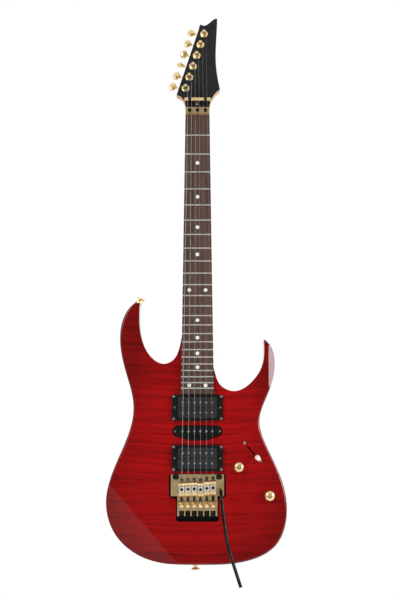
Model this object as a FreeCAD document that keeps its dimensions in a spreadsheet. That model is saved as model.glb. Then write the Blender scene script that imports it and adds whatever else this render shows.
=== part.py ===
import FreeCAD, Part

import math
import os

from FreeCAD import Placement, Rotation, Vector

# Electric guitar with a bolted neck, three pickups and a floating double-locking tremolo.
# Frame: X to the treble side, Y from the front towards the back, Z up along the neck.
# Origin: on the centre line at the nut, level with the crown of the fretboard.

doc = FreeCAD.newDocument("ElectricGuitar")
sheet = doc.addObject("Spreadsheet::Sheet", "Sizes")

DIMENSIONS = {
    "scale_length": 647.7,
    "fret_count": 24,
    "nut_width": 43.0,
    "heel_width": 57.3,
    "heel_end": 496.0,
    "board_thick": 6.0,
    "board_radius": 430.0,
    "fret_tall": 1.1,
    "fret_wide": 2.6,
    "dot_radius": 3.2,
    "front_face": 7.5,
    "cap_thick": 5.0,
    "body_thick": 44.0,
    "front_round": 4.0,
    "back_round": 5.0,
    "pickup_route": 19.5,
    "pocket_deep": 16.0,
    "cover_thick": 2.0,
    "head_angle": 14.0,
    "head_thick": 12.5,
    "face_thick": 1.0,
    "post_radius": 3.0,
    "worm_offset": 7.1,
    "worm_deep": 18.0,
    "worm_radius": 2.0,
    "running_gap": 0.05,
    "nut_pitch": 7.0,
    "bridge_pitch": 10.8,
    "bridge_height": 11.4,
    "plate_top": 7.0,
    "plate_thick": 3.0,
    "recess_deep": 12.0,
    "stud_spread": 37.3,
    "stud_line": 638.5,
    "block_half": 30.0,
    "ring_long": 88.5,
    "ring_wide": 45.0,
    "neck_pickup_line": 519.4,
    "middle_pickup_line": 560.3,
    "bridge_pickup_line": 606.5,
    "knob_radius": 9.7,
    "knob_tall": 15.0,
    "switch_angle": 20.0,
    "arm_radius": 2.9,
    "jack_bore": 3.3,
}
for row, (alias, number) in enumerate(DIMENSIONS.items(), start=1):
    sheet.set(f"A{row}", alias)
    sheet.set(f"B{row}", str(number))
    sheet.setAlias(f"B{row}", alias)
doc.recompute()


def size(alias):
    """The value of a driving dimension."""
    return float(sheet.get(alias))


FRONT = size("front_face")
BACK = FRONT + size("body_thick")
CORE_FRONT = FRONT + size("cap_thick")
CAVITY_END = BACK - size("cover_thick")
STRING_COUNT = 6
STRING_RADII = (0.58, 0.46, 0.34, 0.24, 0.18, 0.14)
WINDING_TURNS = 3
SADDLE_SETBACK = (3.1, 2.5, 1.9, 3.1, 0.9, 0.0)
BUTTON_TURNS = (10, 0, -20, 80, 5, 0)
BUTTON_REACH = 26.8
VOLUME_KNOB = Vector(71.6, 0, -621.7)
TONE_KNOB = Vector(124.3, 0, -670.7)
SWITCH_CENTRE = Vector(95.1, 0, -595.7)
SWITCH_ALONG = Vector(0.662, 0, -0.7495)
SWITCH_PIVOT_DEPTH = 32.5
ARM_FOOT = Vector(39.3, 0, -660.3)
JACK_CENTRE = Vector(153.9, 31.0, -684.0)
HEAD = Placement(Vector(0, 5.5, 15), Rotation(Vector(1, 0, 0), 90 - size("head_angle")))

nodes = []


def node(feature, label):
    """Names a finished piece and lists it for export."""
    feature.Label = label
    nodes.append(feature)
    return feature


def assign(feature, **values):
    """Sets properties: text is an expression on the sheet, anything else a plain value."""
    for name, number in values.items():
        if isinstance(number, str):
            feature.setExpression(name, number)
        else:
            setattr(feature, name, number)


# ---- Primitives and booleans -------------------------------------------------------------


def block(corner, length, width, height, frame=Placement()):
    """A box whose low corner is at corner, in the given frame."""
    box = doc.addObject("Part::Box", "Block")
    assign(box, Length=length, Width=width, Height=height)
    box.Placement = frame.multiply(Placement(corner, Rotation()))
    return box


def rod(start, end, radius, frame=Placement()):
    """A round bar between two points."""
    bar = doc.addObject("Part::Cylinder", "Rod")
    assign(bar, Radius=radius, Height=(end - start).Length)
    turn_up = Rotation(Vector(0, 0, 1), end - start)
    bar.Placement = frame.multiply(Placement(start, turn_up))
    return bar


def taper(start, end, start_radius, end_radius, frame=Placement()):
    """A cone frustum between two points."""
    cone = doc.addObject("Part::Cone", "Taper")
    assign(cone, Radius1=start_radius, Radius2=end_radius, Height=(end - start).Length)
    cone.Placement = frame.multiply(Placement(start, Rotation(Vector(0, 0, 1), end - start)))
    return cone


def fuse(parts):
    joined = doc.addObject("Part::MultiFuse", "Fuse")
    joined.Shapes = parts
    return joined


def group(parts):
    """Separate solids kept side by side in one piece."""
    together = doc.addObject("Part::Compound", "Group")
    together.Links = parts
    return together


def cut(base, tools):
    """The base with every tool taken away."""
    left = doc.addObject("Part::Cut", "Cut")
    left.Base = base
    left.Tool = fuse(tools) if len(tools) > 1 else tools[0]
    return left


def shaped(shape):
    """A feature whose shape comes straight from Part's own functions."""
    feature = doc.addObject("Part::Feature", "Shaped")
    feature.Shape = shape
    return feature


# ---- PartDesign bodies --------------------------------------------------------------------

# Whether an origin plane's normal points along its positive axis.
PLANE_SIGN = {"XY_Plane": 1, "XZ_Plane": -1, "YZ_Plane": 1}


def new_body(placement=Placement()):
    body = doc.addObject("PartDesign::Body", "Body")
    body.Placement = placement
    return body


def new_sketch(body, role, start):
    """A sketch parallel to one of the body's origin planes, start along its axis."""
    sketch = body.newObject("Sketcher::SketchObject", "Sketch")
    plane = next(item for item in body.Origin.OriginFeatures if item.Role == role)
    sketch.AttachmentSupport = [(plane, "")]
    sketch.MapMode = "FlatFace"
    sketch.AttachmentOffset = Placement(Vector(0, 0, PLANE_SIGN[role] * start), Rotation())
    return sketch


def pad(body, role, start, depth, draw):
    """Adds material from start along the plane's positive axis."""
    sketch = new_sketch(body, role, start)
    draw(sketch)
    feature = body.newObject("PartDesign::Pad", "Pad")
    feature.Profile = sketch
    assign(feature, Length=depth, Reversed=PLANE_SIGN[role] < 0)
    return feature


def carve(body, role, start, depth, draw):
    """Removes material from start along the plane's positive axis."""
    sketch = new_sketch(body, role, start)
    draw(sketch)
    feature = body.newObject("PartDesign::Pocket", "Pocket")
    feature.Profile = sketch
    assign(feature, Length=depth, Reversed=PLANE_SIGN[role] > 0)
    return feature


def turned(placement, draw):
    """A body turned about its own Y axis from a half profile in its XY plane."""
    body = new_body(placement)
    sketch = new_sketch(body, "XY_Plane", 0)
    draw(sketch)
    feature = body.newObject("PartDesign::Revolution", "Revolution")
    feature.Profile = sketch
    feature.ReferenceAxis = (sketch, ["V_Axis"])
    feature.Angle = 360
    return body


def draw_lines(sketch, points):
    """A closed polygon."""
    for start, end in zip(points, points[1:] + points[:1]):
        sketch.addGeometry(Part.LineSegment(Vector(*start, 0), Vector(*end, 0)))


def draw_circles(sketch, centres, radius):
    for across, up in centres:
        sketch.addGeometry(Part.Circle(Vector(across, up, 0), Vector(0, 0, 1), radius))


def rounded_edges(points, radius):
    """A closed polygon's edges, with every corner rounded by an arc."""
    corners = [Vector(*point, 0) for point in points]
    touches = []
    for index, corner in enumerate(corners):
        back = (corners[index - 1] - corner).normalize()
        ahead = (corners[(index + 1) % len(corners)] - corner).normalize()
        half = back.getAngle(ahead) / 2
        reach = radius / math.tan(half)
        middle = corner + (back + ahead).normalize() * (radius / math.sin(half) - radius)
        touches.append((corner + back * reach, middle, corner + ahead * reach))
    edges = []
    for index, (first, middle, last) in enumerate(touches):
        edges.append(Part.Arc(first, middle, last))
        edges.append(Part.LineSegment(last, touches[(index + 1) % len(touches)][0]))
    return edges


def draw_rounded(sketch, points, radius):
    for edge in rounded_edges(points, radius):
        sketch.addGeometry(edge)


def rectangle(half_width, low, high):
    """Corners of a rectangle about the centre line."""
    return [(-half_width, low), (half_width, low), (half_width, high), (-half_width, high)]


def spline(points):
    """A smooth curve through points of a plane."""
    curve = Part.BSplineCurve()
    curve.interpolate([Vector(*point, 0) for point in points])
    return curve


# ---- Body outline --------------------------------------------------------------------------

# From the bass horn down around the tail and up to the treble horn.
RIM = [
    (-108.3, -334.0), (-125.5, -352.5), (-135.9, -398.9), (-125.4, -457.3), (-111.5, -520.5),
    (-115.8, -551.0), (-126.7, -582.3), (-151.6, -643.8), (-158.2, -686.0), (-143.8, -735.5),
    (-95.8, -775.8), (0.0, -788.3), (88.8, -781.0), (134.9, -755.6), (154.6, -697.0),
    (145.9, -643.8), (118.5, -582.3), (108.0, -541.0), (121.7, -498.6), (135.5, -444.6),
    (129.0, -412.5), (118.0, -400.3),
]
# Treble cutaway, from the horn tip to the edge of the neck.
TREBLE_CUTAWAY = [
    (116.3, -401.0), (116.9, -422.0), (112.8, -447.2), (98.5, -470.5), (63.0, -490.6),
    (38.9, -478.5), (30.4, -457.3), (28.2, -449.3),
]
# Bass cutaway, from the edge of the neck to the horn.
BASS_CUTAWAY = [
    (-27.2, -393.9), (-31.5, -415.0), (-42.3, -436.2), (-59.0, -443.2), (-75.6, -436.2),
    (-95.9, -404.9), (-102.1, -362.6), (-101.3, -337.5),
]


def outline_curves():
    """The closed outline of the body: curves joined by short straight ends."""
    rim, treble, bass = spline(RIM), spline(TREBLE_CUTAWAY), spline(BASS_CUTAWAY)
    ends = [(RIM[-1], TREBLE_CUTAWAY[0]), (TREBLE_CUTAWAY[-1], BASS_CUTAWAY[0]),
            (BASS_CUTAWAY[-1], RIM[0])]
    lines = [Part.LineSegment(Vector(*start, 0), Vector(*end, 0)) for start, end in ends]
    return [rim, lines[0], treble, lines[1], bass, lines[2]]


def draw_body_outline(sketch):
    for curve in outline_curves():
        sketch.addGeometry(curve)


def wedge(corner, along, outward, slope, length, reach, thick):
    """A box lying on a plane that starts along a line of the face and sinks outwards."""
    tilt = math.radians(slope)
    sinking = outward * math.cos(tilt) + Vector(0, 1, 0) * math.sin(tilt)
    lying = Placement(corner, Rotation(along, sinking, along.cross(sinking), "XYZ"))
    return block(Vector(0, 0, 0), length, reach, thick, lying)


def contour_tools():
    """Tools for the forearm slope, the bevel of the treble horn and the scoop at the waist."""
    chord = Vector(-0.66, 0, 0.7513)
    forearm = wedge(Vector(-13, FRONT, -809.5), chord, Vector(-0.7513, 0, -0.66), 15, 250, 90, 40)
    horn = wedge(Vector(124.5, FRONT, -396), Vector(0, 0, -1), Vector(1, 0, 0), 28, 98, 30, 30)
    scoop_radius = 150
    rise = math.tan(math.radians(16))
    waist = rod(Vector(-60, BACK + scoop_radius + 25 * rise, -520),
                Vector(-175, BACK + scoop_radius - 90 * rise, -520), scoop_radius)
    return forearm, horn, waist


# ---- Hollows of the body -------------------------------------------------------------------

NECK_POCKET = [(-28.85, -496.3), (28.85, -496.3), (27.0, -375), (-27.0, -375)]
BRIDGE_RECESS = [
    (-49.1, -633.2), (-49.1, -674.6), (-36.8, -674.6), (-36.8, -714.9),
    (36.8, -714.9), (36.8, -674.6), (49.1, -674.6), (49.1, -633.2),
]
CONTROL_CAVITY = [
    (58, -604.5), (70, -567.5), (96, -570), (106.5, -588), (117, -608),
    (135, -661), (137, -693), (104, -693), (58, -646),
]
CONTROL_COVER = [
    (52.5, -603), (66, -562), (99, -564.5), (111.5, -584.5), (122.5, -606),
    (141, -659), (143, -699), (101.5, -699), (52.5, -648),
]
SPRING_COVER = rectangle(46, -697, -540)
RING_SCREWS = [
    (side * 41.0, -line + end * 19.3)
    for line in (size("neck_pickup_line"), size("bridge_pickup_line"))
    for side in (-1, 1)
    for end in (-1, 1)
]
NECK_SCREWS = [(-17, -425), (-17, -480), (17, -459), (17, -484)]
CONTROL_SCREWS = [(57, -607), (68, -566.5), (118.5, -608.5), (139.5, -695), (60, -651.5)]
SPRING_SCREWS = [(side * 42.8, line) for side in (-1, 1) for line in (-546, -618, -691)]
SWITCH_SCREWS = [
    (SWITCH_CENTRE.x + side * 20.5 * SWITCH_ALONG.x, SWITCH_CENTRE.z + side * 20.5 * SWITCH_ALONG.z)
    for side in (-1, 1)
]
MIDDLE_SCREWS = [(side * 38.6, -560.3) for side in (-1, 1)]


def slanted_box(centre, along, half_long, half_wide):
    """Corners of a rectangle turned to lie along a direction."""
    across = Vector(-along.z, 0, along.x)
    corners = []
    for long_side, wide_side in ((-1, -1), (1, -1), (1, 1), (-1, 1)):
        corner = centre + along * (long_side * half_long) + across * (wide_side * half_wide)
        corners.append((corner.x, corner.z))
    return corners


def single_coil_outline(margin):
    """The base of the middle pickup: a slot with a broad bulge on its tail side."""
    line = -size("middle_pickup_line")
    half, wide = 42.3 + margin, 8.9 + margin
    low = line - wide
    shoulder, crest = 33 + margin, 14
    return [
        (-half, low + 3), (-shoulder, low + 0.2), (-crest, low - 5.9), (crest, low - 5.9),
        (shoulder, low + 0.2), (half, low + 3), (half, line + wide), (-half, line + wide),
    ]


def hollow(points, radius):
    """A drawing function for one rounded outline."""
    return lambda sketch: draw_rounded(sketch, points, radius)


def holes(centres, radius):
    """A drawing function for a set of round holes."""
    return lambda sketch: draw_circles(sketch, centres, radius)


ROUTE_END = FRONT + size("pickup_route")
POCKET_END = FRONT + size("pocket_deep")
RECESS_END = FRONT + size("recess_deep")
CONTROL_FRONT = FRONT + 6
SPRING_FRONT = 33.5

# Each hollow cut from the front: its outline and the depth at which it ends.
FRONT_HOLLOWS = [
    (hollow(BRIDGE_RECESS, 5), RECESS_END),
    (hollow(NECK_POCKET, 0.3), POCKET_END),
    (hollow(rectangle(37, -539.4, -499.6), 5), ROUTE_END),
    (hollow(single_coil_outline(1.2), 9.4), ROUTE_END),
    (hollow(rectangle(37, -626.5, -586.5), 5), ROUTE_END),
    (holes([(VOLUME_KNOB.x, VOLUME_KNOB.z), (TONE_KNOB.x, TONE_KNOB.z)], 4.8), CONTROL_FRONT),
    (hollow(slanted_box(SWITCH_CENTRE, SWITCH_ALONG, 13, 1.15), 1.1), CONTROL_FRONT),
    (holes(SWITCH_SCREWS, 1.5), CONTROL_FRONT),
    (holes(RING_SCREWS, 1.2), FRONT + 9),
]


def round_rim(body, depth, radius):
    """Rounds the long outer edge of a layer, in the plane at the given depth."""
    doc.recompute()
    layer = body.Tip
    lying = {
        f"Edge{number}": edge.Length
        for number, edge in enumerate(layer.Shape.Edges, start=1)
        if abs(edge.BoundBox.YMin - depth) < 1e-3 and abs(edge.BoundBox.YMax - depth) < 1e-3
    }
    fillet = body.newObject("PartDesign::Fillet", "Fillet")
    fillet.Base = (layer, [max(lying, key=lying.get)])
    assign(fillet, Radius=radius)


def wood_layer(start, end, thickness):
    """One layer of the body, with the hollows that reach it from the front."""
    body = new_body()
    pad(body, "XZ_Plane", start, thickness, draw_body_outline)
    if start == FRONT:
        round_rim(body, FRONT, "Sizes.front_round")
    else:
        round_rim(body, BACK, "Sizes.back_round")
    for draw, depth in FRONT_HOLLOWS:
        if depth > start:
            carve(body, "XZ_Plane", start, min(depth, end) - start, draw)
    return body


def strap_button_seats():
    """Where each strap button stands: its foot and the direction it points in."""
    lean = math.radians(26.6)
    return [
        (Vector(-104.2, 28, -335.0), Vector(math.sin(lean), 0, math.cos(lean))),
        (Vector(-3.3, 28, -788.2), Vector(0, 0, -1)),
    ]


def build_body():
    forearm, horn, waist = contour_tools()
    cap = wood_layer(FRONT, CORE_FRONT, "Sizes.cap_thick")
    node(cut(cap, [forearm, horn]), "maple_top")

    core = wood_layer(CORE_FRONT, BACK, "Sizes.body_thick - Sizes.cap_thick")
    carve(core, "XZ_Plane", RECESS_END, BACK - RECESS_END, hollow(rectangle(40, -688, -641), 4))
    carve(core, "XZ_Plane", SPRING_FRONT, BACK - SPRING_FRONT, hollow(rectangle(40, -690, -548), 4))
    carve(core, "XZ_Plane", CAVITY_END, "Sizes.cover_thick", hollow(SPRING_COVER, 6))
    carve(core, "XZ_Plane", CONTROL_FRONT, BACK - CONTROL_FRONT, hollow(CONTROL_CAVITY, 5))
    carve(core, "XZ_Plane", CAVITY_END, "Sizes.cover_thick", hollow(CONTROL_COVER, 6))
    carve(core, "XZ_Plane", POCKET_END, BACK - POCKET_END, holes(NECK_SCREWS, 2.6))
    carve(core, "XZ_Plane", BACK - 3, 3, holes(NECK_SCREWS, 7.1))
    carve(core, "XZ_Plane", CAVITY_END - 8, 8, holes(CONTROL_SCREWS + SPRING_SCREWS, 1.2))
    carve(core, "XZ_Plane", ROUTE_END, 5, holes(MIDDLE_SCREWS, 1.2))
    bores = [
        rod(Vector(120, JACK_CENTRE.y, JACK_CENTRE.z), JACK_CENTRE + Vector(10, 0, 0), 6.6),
        rod(JACK_CENTRE - Vector(2.6, 0, 0), JACK_CENTRE + Vector(10, 0, 0), 10.6),
    ]
    for side in (-1, 1):
        stud = Vector(side * size("stud_spread"), 0, -size("stud_line"))
        bores.append(rod(stud + Vector(0, RECESS_END - 1, 0), stud + Vector(0, 31, 0), 5.05))
        bores.append(rod(Vector(side * 14, 39.5, -560), Vector(side * 14, 39.5, -520), 1.8))
    for foot, out in strap_button_seats():
        bores.append(rod(foot - out * 22, foot + out, 1.8))
        bores.append(rod(foot, foot + out * 5, 6.4))
    node(cut(core, [forearm, horn, waist] + bores), "body_core")


# ---- Neck ------------------------------------------------------------------------------------


def half_width(drop):
    """Half the fretboard's width at a distance below the nut."""
    flare = (size("heel_width") - size("nut_width")) / 2 / size("heel_end")
    return size("nut_width") / 2 + flare * drop


def neck_section(height, half, top, bottom, squareness):
    """A flat top and a rounded back: the higher the squareness, the boxier the back."""
    points = []
    for step in range(25):
        angle = math.pi * step / 24
        across = math.copysign(abs(math.cos(angle)) ** (2 / squareness), math.cos(angle))
        deep = abs(math.sin(angle)) ** (2 / squareness)
        points.append(Vector(half * across, top + (bottom - top) * deep, height))
    back = Part.BSplineCurve()
    back.interpolate(points)
    return Part.Wire([back.toShape(), Part.LineSegment(points[-1], points[0]).toShape()])


HEAD_SCREW_HOLES = [(-14, 12.6), (14, 12.6)]


def head_curves():
    """The headstock's outline in its own plane, up from the nut on the treble side."""
    crook = [(21.6, 0), (22.3, 9), (27.0, 22.0), (40.4, 38.6)]
    treble_edge = [(40.4, 38.6), (36.0, 64.5), (33.3, 95), (33.6, 128), (36.2, 183.5)]
    point = [(36.2, 183.5), (35.4, 187.3), (33.0, 187.4)]
    notch = [(33.0, 187.4), (21.1, 177.4), (12.8, 172.5), (6.0, 175.3)]
    shoulder = [(6.0, 175.3), (4.3, 173.0), (2.7, 166.2)]
    bass_edge = [(2.7, 166.2), (-37.6, 26.6)]
    bass_crook = [(-37.6, 26.6), (-27.0, 19.6), (-22.3, 9), (-21.6, 0)]
    curves = [spline(points) for points in (crook, treble_edge, point, notch, shoulder)]
    curves.append(Part.LineSegment(*[Vector(*place, 0) for place in bass_edge]))
    curves.append(spline(bass_crook))
    curves.append(Part.LineSegment(Vector(*bass_crook[-1], 0), Vector(*crook[0], 0)))
    return curves


def draw_head_outline(sketch):
    for curve in head_curves():
        sketch.addGeometry(curve)


def post_places():
    """The string posts on the headstock, from the tip down to the nut."""
    return [Vector(11.9 - 6.7 * index, 153.6 - 22.84 * index, 0) for index in range(STRING_COUNT)]


POST_ROW = Vector(6.7, 22.84, 0).normalize()
SHAFT_OUT = Vector(-POST_ROW.y, POST_ROW.x, 0)
POST_HOLES = [(place.x, place.y) for place in post_places()]


def build_neck():
    sections = [(26, 20.5, 9.6, 20.5, 2.3), (14.5, 21.3, 6, 18.2, 2.3), (0, half_width(0), 6, 17, 2.3)]
    for drop, bottom, squareness in ((130, 17.7, 2.3), (260, 18.6, 2.3), (385, 20.0, 2.4),
                                     (405, POCKET_END - 0.2, 6), (size("heel_end"), POCKET_END - 0.2, 6)):
        sections.append((-drop, half_width(drop), 6, bottom, squareness))
    shaft = Part.makeLoft([neck_section(*section) for section in sections], True, True)
    head_face = Part.Face(Part.Wire([curve.toShape() for curve in head_curves()]))
    deep = size("head_thick")
    head = head_face.extrude(Vector(0, 0, deep - size("face_thick")))
    head.Placement = HEAD.multiply(Placement(Vector(0, 0, -deep), Rotation()))
    neck = shaped(shaft.fuse(head))
    tools = [block(Vector(-2.7, 5, -470), 5.4, 10.2, 505)]
    tools.append(block(Vector(-45, -0.3, -size("face_thick")), 90, 200, 4, HEAD))
    tools.append(block(Vector(-4.5, 6, -8), 9, 41, 10, HEAD))
    for place in post_places():
        tools.append(rod(place - Vector(0, 0, 20), place + Vector(0, 0, 5), 4.55, HEAD))
    for across, up in NECK_SCREWS:
        tools.append(rod(Vector(across, 13.5, up), Vector(across, 30, up), 2.6))
    node(cut(neck, tools), "neck")

    face = new_body(HEAD)
    pad(face, "XY_Plane", -size("face_thick"), "Sizes.face_thick", draw_head_outline)
    carve(face, "XY_Plane", -size("face_thick"), "Sizes.face_thick", holes(POST_HOLES, 4.55))
    carve(face, "XY_Plane", -size("face_thick"), "Sizes.face_thick",
          lambda sketch: draw_lines(sketch, [(-4.5, 6), (4.5, 6), (4.5, 47), (-4.5, 47)]))
    node(face, "headstock_face")

    truss_bar = rod(Vector(0, 12.4, -465), Vector(0, 12.4, 22), 2.4)
    nut = rod(Vector(0, 12.4, 21), Vector(0, 12.4, 31), 2.6)
    node(fuse([truss_bar, nut]), "truss_rod")

    cover_outline = [(-9.5, 17.5), (9.5, 17.5), (8, 30), (4.2, 50), (-4.2, 50), (-8, 30)]
    cover = new_body(HEAD)
    pad(cover, "XY_Plane", 0.02, 1.6, hollow(cover_outline, 2.5))
    cover_screws = [rod(Vector(across, up, 1.62), Vector(across, up, 2.6), 1.7, HEAD)
                    for across, up in ((0, 45), (-6, 22), (6, 22))]
    node(group([cover] + cover_screws), "truss_rod_cover")


def fret_drop(number):
    """How far below the nut a fret lies."""
    return size("scale_length") * (1 - 2 ** (-number / 12))


def radius_cylinder(reach, low, high):
    """A cylinder about the fretboard's own centre line, far behind the neck."""
    axis = size("board_radius")
    return rod(Vector(0, axis, low), Vector(0, axis, high), reach)


def dot_places():
    """The inlays: one dot between most odd frets, two at each octave."""
    places = []
    for number in (3, 5, 7, 9, 12, 15, 17, 19, 21, 24):
        middle = -(fret_drop(number - 1) + fret_drop(number)) / 2
        spots = (-14.2, 14.2) if number % 12 == 0 else (0,)
        places += [Vector(across, 0, middle) for across in spots]
    return places


def fret(number):
    """One fret: a crown that follows the fretboard's radius."""
    crown, foot, wide = size("fret_tall"), size("board_radius"), size("fret_wide") / 2
    middle = -fret_drop(number)
    ends = [Vector(0, 0, middle - wide), Vector(0, -crown, middle), Vector(0, 0, middle + wide)]
    profile = Part.Face(Part.Wire([
        Part.Arc(*ends).toShape(), Part.LineSegment(ends[2], ends[0]).toShape(),
    ]))
    reach = math.degrees(math.asin((half_width(-middle) - 0.2) / foot))
    axis = Vector(0, foot, 0)
    profile.rotate(axis, Vector(0, 0, 1), -reach)
    return profile.revolve(axis, Vector(0, 0, 1), 2 * reach)


def build_fretboard():
    end = size("heel_end")
    blank = new_body()
    taper_points = [
        (-half_width(end), -end), (half_width(end), -end), (half_width(0), 0), (-half_width(0), 0),
    ]
    pad(blank, "XZ_Plane", -3, "Sizes.board_thick + 3", lambda sketch: draw_lines(sketch, taper_points))
    curved = doc.addObject("Part::Common", "Curved")
    curved.Base = blank
    curved.Tool = radius_cylinder("Sizes.board_radius", -end - 5, 5)
    dots = [rod(place - Vector(0, 2, 0), place + Vector(0, 1.6, 0), "Sizes.dot_radius")
            for place in dot_places()]
    node(cut(curved, dots), "fretboard")

    inlays = doc.addObject("Part::Common", "Inlays")
    inlays.Base = group([
        rod(place - Vector(0, 2, 0), place + Vector(0, 1.6, 0), "Sizes.dot_radius")
        for place in dot_places()
    ])
    inlays.Tool = radius_cylinder("Sizes.board_radius", -end - 5, 5)
    node(inlays, "position_dots")

    frets = [fret(number) for number in range(1, int(size("fret_count")) + 1)]
    node(shaped(Part.makeCompound(frets)), "frets")


# ---- Nut and strings -------------------------------------------------------------------------

NUT_BACK = 14.4
SEAT = -1.0


def string_offsets(pitch, count=STRING_COUNT):
    """Evenly spaced places across the centre line, bass side first."""
    return [(index - (count - 1) / 2) * pitch for index in range(count)]


def build_nut():
    seat_block = block(Vector(-21.4, SEAT + 0.02, 0.5), 42.8, 6 - SEAT - 0.04, NUT_BACK - 0.5)
    clamp_long, clamp_wide = 12.4, 10.6
    bores, clamps, bolts = [], [], []
    for across in string_offsets(14, 3):
        line = Vector(across, 0, 7.4)
        bore = rod(line - Vector(0, 6, 0), line + Vector(0, 3, 0), 1.65)
        bores.append(bore)
        clamp = block(Vector(across - clamp_long / 2, -5.6, 2.2), clamp_long, 3.3, clamp_wide)
        clamps.append(cut(clamp, [bore]))
        head = rod(line - Vector(0, 8.6, 0), line - Vector(0, 5.6, 0), 3.2)
        shank = rod(line - Vector(0, 5.8, 0), line + Vector(0, 2.8, 0), 1.6)
        hex_socket = doc.addObject("Part::Prism", "Socket")
        assign(hex_socket, Polygon=6, Circumradius=1.7, Height=2.0)
        hex_socket.Placement = Placement(line - Vector(0, 6.7, 0), Rotation(Vector(1, 0, 0), 90))
        bolts.append(cut(fuse([head, shank]), [hex_socket]))
    node(cut(seat_block, bores), "nut_base")
    node(group(clamps), "nut_clamps")
    node(group(bolts), "nut_bolts")

    bar = block(Vector(-23.3, 9.6, 6.3), 46.6, 6, 3, HEAD)
    parts = [bar]
    for across, up in HEAD_SCREW_HOLES:
        parts.append(rod(Vector(across, up, 0.02), Vector(across, up, 9.3), 1.5, HEAD))
        parts.append(rod(Vector(across, up, 9.3), Vector(across, up, 11.2), 2.9, HEAD))
    node(fuse(parts), "string_retainer")


def string_path(index):
    """One string's corners, from its clamp in the saddle to its post."""
    radius = STRING_RADII[index]
    at_nut = string_offsets(size("nut_pitch"))[index]
    at_bridge = string_offsets(size("bridge_pitch"))[index]
    setback = SADDLE_SETBACK[index]
    crown = FRONT - size("bridge_height") - 0.04
    post = post_places()[STRING_COUNT - 1 - index]
    beside_post = post + Vector(size("post_radius") + 2 * radius + 0.06, -2, 7.5)
    share = 0.2
    under_bar = Vector(at_nut + (beside_post.x - at_nut) * share, 12.6, 6.0 - radius)
    return [
        Vector(at_bridge, crown + 0.6 - radius, -651.1 - setback),
        Vector(at_bridge, crown - radius, -646 - setback),
        Vector(at_nut, SEAT - radius, 0),
        Vector(at_nut, SEAT - radius, NUT_BACK),
        HEAD.multVec(under_bar),
        HEAD.multVec(beside_post),
    ]


def string_solid(index):
    """A string as straight runs with round corners."""
    radius = STRING_RADII[index]
    corners = string_path(index)
    parts = []
    for start, end in zip(corners, corners[1:]):
        parts.append(Part.makeCylinder(radius, (end - start).Length, start, end - start))
    for corner in corners[1:]:
        parts.append(Part.makeSphere(radius, corner))
    return parts[0].fuse(parts[1:])


def string_winding(index):
    """A string's turns about its post, as one sleeve as deep as all of them."""
    radius = STRING_RADII[index]
    place = post_places()[STRING_COUNT - 1 - index]
    inner = size("post_radius") + 0.03
    low = place + Vector(0, 0, 7.5 - (2 * WINDING_TURNS - 1) * radius)
    high = place + Vector(0, 0, 7.5 + radius)
    return cut(rod(low, high, inner + 2 * radius, HEAD), [rod(low, high, inner, HEAD)])


def build_strings():
    runs = [shaped(string_solid(index)) for index in range(STRING_COUNT)]
    windings = [string_winding(index) for index in range(STRING_COUNT)]
    node(group(runs + windings), "strings")


# ---- Tuners ------------------------------------------------------------------------------------


def tuner_frame(place, turn):
    """A button's frame: X out along its shaft, turned about that shaft."""
    shaft = place + POST_ROW * size("worm_offset") - Vector(0, 0, size("worm_deep"))
    across = Vector(0, 0, 1).cross(SHAFT_OUT)
    upright = Rotation(SHAFT_OUT, across, Vector(0, 0, 1), "XYZ")
    return HEAD.multiply(Placement(shaft, upright.multiply(Rotation(Vector(1, 0, 0), turn))))


def build_tuners():
    deep = size("head_thick")
    housings, bushings = [], []
    for index, place in enumerate(post_places(), start=1):
        frame = tuner_frame(place, BUTTON_TURNS[index - 1])
        up = Vector(0, 0, 1)
        bore = rod(place - up * 21.4, place + up * 5, "Sizes.post_radius + Sizes.running_gap", HEAD)
        worm_bore = rod(Vector(-9, 0, 0), Vector(30, 0, 0),
                        "Sizes.worm_radius + Sizes.running_gap", frame)
        shell = rod(place - up * 23, place - up * (deep + 0.02), 8.6, HEAD)
        barrel = rod(Vector(-10.5, 0, 0), Vector(13.5, 0, 0), 4.6, frame)
        beside = place - POST_ROW * 9
        ear = rod(beside - up * (deep + 2.5), beside - up * (deep + 0.02), 3.4, HEAD)
        beside -= POST_ROW
        ear_screw = rod(beside - up * (deep + 4.2), beside - up * (deep + 2.5), 2.2, HEAD)
        housings.append(cut(fuse([shell, barrel, ear, ear_screw]), [bore, worm_bore]))
        sleeve = rod(place - up * deep, place + up * 0.05, 4.5, HEAD)
        washer = rod(place + up * 0.02, place + up * 1.2, 7.1, HEAD)
        dome = taper(place + up * 1.2, place + up * 3, 7.1, 4.4, HEAD)
        bushings.append(cut(fuse([sleeve, washer, dome]), [bore]))

        button = doc.addObject("Part::Ellipsoid", "Button")
        assign(button, Radius1=3.9, Radius2=6.4, Radius3=8.4)
        button.Placement = frame.multiply(Placement(Vector(BUTTON_REACH, 0, 0), Rotation()))
        collar = taper(Vector(14.2, 0, 0), Vector(22.5, 0, 0), 2.2, 3.0, frame)
        shaft = rod(Vector(-8.5, 0, 0), Vector(BUTTON_REACH, 0, 0), "Sizes.worm_radius", frame)
        node(fuse([button, collar, shaft]), f"tuner_button_{index}")

        post = rod(place - up * 21, place + up * 11.5, "Sizes.post_radius", HEAD)
        eye = rod(place + Vector(-5, 0, 9.8), place + Vector(5, 0, 9.8), 0.9, HEAD)
        node(cut(post, [eye]), f"tuner_post_{index}")
    node(group(housings), "tuner_housings")
    node(group(bushings), "tuner_bushings")


# ---- Pickups ------------------------------------------------------------------------------------


def pole_rows(line):
    """Two rows of six poles across a humbucker."""
    return [(across, line + side * 8.7) for side in (-1, 1) for across in string_offsets(10.1)]


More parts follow.
